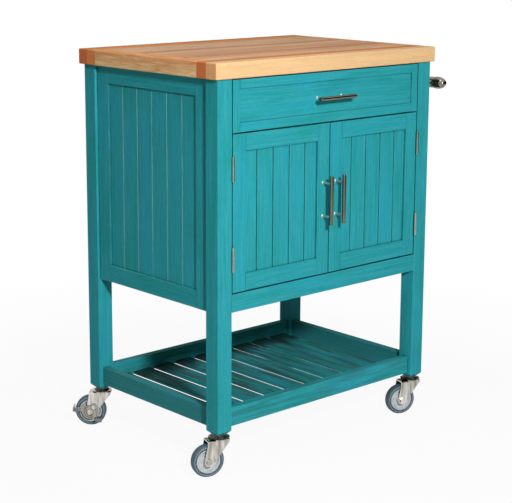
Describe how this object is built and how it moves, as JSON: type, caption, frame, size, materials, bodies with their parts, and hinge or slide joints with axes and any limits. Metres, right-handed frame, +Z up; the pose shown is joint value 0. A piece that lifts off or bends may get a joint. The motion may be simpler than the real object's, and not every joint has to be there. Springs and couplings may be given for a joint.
{
  "type": "kitchen cart",
  "caption": "Wheeled kitchen cart with a butcher-block top, a drawer over a two-door cupboard, an open slatted shelf and a side towel bar.",
  "frame": {"origin": "on the floor, under the middle of the box that holds the cart as it stands", "axes": "+X to the right seen from the front, +Y to the back, +Z up"},
  "size_m": [0.7692, 0.5378, 0.909],
  "materials": {
    "butcher_block": "oiled, satin",
    "teal_wood": "hand-rubbed stain, satin",
    "plain_wood": "sealed, matte",
    "brushed_nickel": "brushed",
    "zinc_steel": "zinc plated",
    "tyre_rubber": "matte",
    "hub_plastic": "matte",
    "brake_pad_rubber": "matte",
    "catch_plastic": "matte"
  },
  "bodies": {
    "cart_frame": {"worktop_edge_strips": "butcher_block", "worktop_end_strips": "butcher_block", "worktop_staves": "butcher_block", "front_left_leg": "teal_wood", "front_right_leg": "teal_wood", "rear_left_leg": "teal_wood", "rear_right_leg": "teal_wood", "left_side_frame": "teal_wood", "left_side_panel": "teal_wood", "right_side_frame": "teal_wood", "right_side_panel": "teal_wood", "back_frame": "teal_wood", "back_panel": "teal_wood", "front_bottom_rail": "teal_wood", "inner_front_rails": "plain_wood", "cupboard_floor": "plain_wood", "case_battens": "plain_wood", "cupboard_shelf": "plain_wood", "shelf_pins": "zinc_steel", "shelf_stretchers": "teal_wood", "shelf_slats": "teal_wood", "hinge_leg_leaves": "brushed_nickel", "door_catches": "catch_plastic", "drawer_slide_channels": "zinc_steel", "towel_rod": "brushed_nickel", "towel_fittings": "brushed_nickel", "caster_stems": "zinc_steel"},
    "drawer": {"drawer_front_frame": "teal_wood", "drawer_front_panel": "teal_wood", "drawer_sides": "plain_wood", "drawer_ends": "plain_wood", "drawer_bottom": "plain_wood", "drawer_pull": "brushed_nickel", "drawer_slide_rails": "zinc_steel"},
    "left_door": {"left_door_frame": "teal_wood", "left_door_panel": "teal_wood", "left_door_hinge_leaves": "brushed_nickel", "left_door_pull": "brushed_nickel", "left_door_strike": "brushed_nickel"},
    "right_door": {"right_door_frame": "teal_wood", "right_door_panel": "teal_wood", "right_door_hinge_leaves": "brushed_nickel", "right_door_pull": "brushed_nickel", "right_door_strike": "brushed_nickel"},
    "front_left_caster": {"front_left_fork": "zinc_steel"},
    "front_left_wheel": {"front_left_hub": "hub_plastic", "front_left_tyre": "tyre_rubber"},
    "front_right_caster": {"front_right_fork": "zinc_steel"},
    "front_right_wheel": {"front_right_hub": "hub_plastic", "front_right_tyre": "tyre_rubber"},
    "rear_left_caster": {"rear_left_fork": "zinc_steel"},
    "rear_left_wheel": {"rear_left_hub": "hub_plastic", "rear_left_tyre": "tyre_rubber"},
    "rear_right_caster": {"rear_right_fork": "zinc_steel"},
    "rear_right_wheel": {"rear_right_hub": "hub_plastic", "rear_right_tyre": "tyre_rubber"},
    "rear_left_brake": {"rear_left_brake_lever": "zinc_steel", "rear_left_brake_pad": "brake_pad_rubber"},
    "rear_right_brake": {"rear_right_brake_lever": "zinc_steel", "rear_right_brake_pad": "brake_pad_rubber"}
  },
  "joints": [
    {"name": "drawer_slide", "type": "slide", "parent": "cart_frame", "child": "drawer", "axis": [0, -1, 0], "range_m": [0, 0.3]},
    {"name": "left_door_hinge", "type": "hinge", "parent": "cart_frame", "child": "left_door", "pos_m": [-0.30037, -0.2405, 0.584], "axis": [0, 0, -1], "range_deg": [0, 165]},
    {"name": "right_door_hinge", "type": "hinge", "parent": "cart_frame", "child": "right_door", "pos_m": [0.28363, -0.2405, 0.584], "axis": [0, 0, 1], "range_deg": [0, 165]},
    {"name": "front_left_swivel", "type": "hinge", "parent": "cart_frame", "child": "front_left_caster", "pos_m": [-0.32187, -0.2183, 0.0842], "axis": [0, 0, 1], "continuous": true},
    {"name": "front_left_wheel_spin", "type": "hinge", "parent": "front_left_caster", "child": "front_left_wheel", "pos_m": [-0.34707, -0.20862, 0.037], "axis": [0.3584, 0.9336, 0], "continuous": true},
    {"name": "front_right_swivel", "type": "hinge", "parent": "cart_frame", "child": "front_right_caster", "pos_m": [0.30513, -0.2183, 0.0842], "axis": [0, 0, 1], "continuous": true},
    {"name": "front_right_wheel_spin", "type": "hinge", "parent": "front_right_caster", "child": "front_right_wheel", "pos_m": [0.27993, -0.20862, 0.037], "axis": [0.3584, 0.9336, 0], "continuous": true},
    {"name": "rear_left_swivel", "type": "hinge", "parent": "cart_frame", "child": "rear_left_caster", "pos_m": [-0.32187, 0.2137, 0.0842], "axis": [0, 0, 1], "continuous": true},
    {"name": "rear_left_wheel_spin", "type": "hinge", "parent": "rear_left_caster", "child": "rear_left_wheel", "pos_m": [-0.34129, 0.23246, 0.037], "axis": [0.6947, 0.7193, 0], "continuous": true},
    {"name": "rear_left_brake_rock", "type": "hinge", "parent": "rear_left_caster", "child": "rear_left_brake", "pos_m": [-0.33481, 0.22621, 0.0495], "axis": [-0.6947, -0.7193, 0], "range_deg": [0, 10]},
    {"name": "rear_right_swivel", "type": "hinge", "parent": "cart_frame", "child": "rear_right_caster", "pos_m": [0.30513, 0.2137, 0.0842], "axis": [0, 0, 1], "continuous": true},
    {"name": "rear_right_wheel_spin", "type": "hinge", "parent": "rear_right_caster", "child": "rear_right_wheel", "pos_m": [0.28224, 0.22801, 0.037], "axis": [0.5299, 0.848, 0], "continuous": true},
    {"name": "rear_right_brake_rock", "type": "hinge", "parent": "rear_right_caster", "child": "rear_right_brake", "pos_m": [0.28987, 0.22324, 0.0495], "axis": [-0.5299, -0.848, 0], "range_deg": [0, 10]}
  ]
}
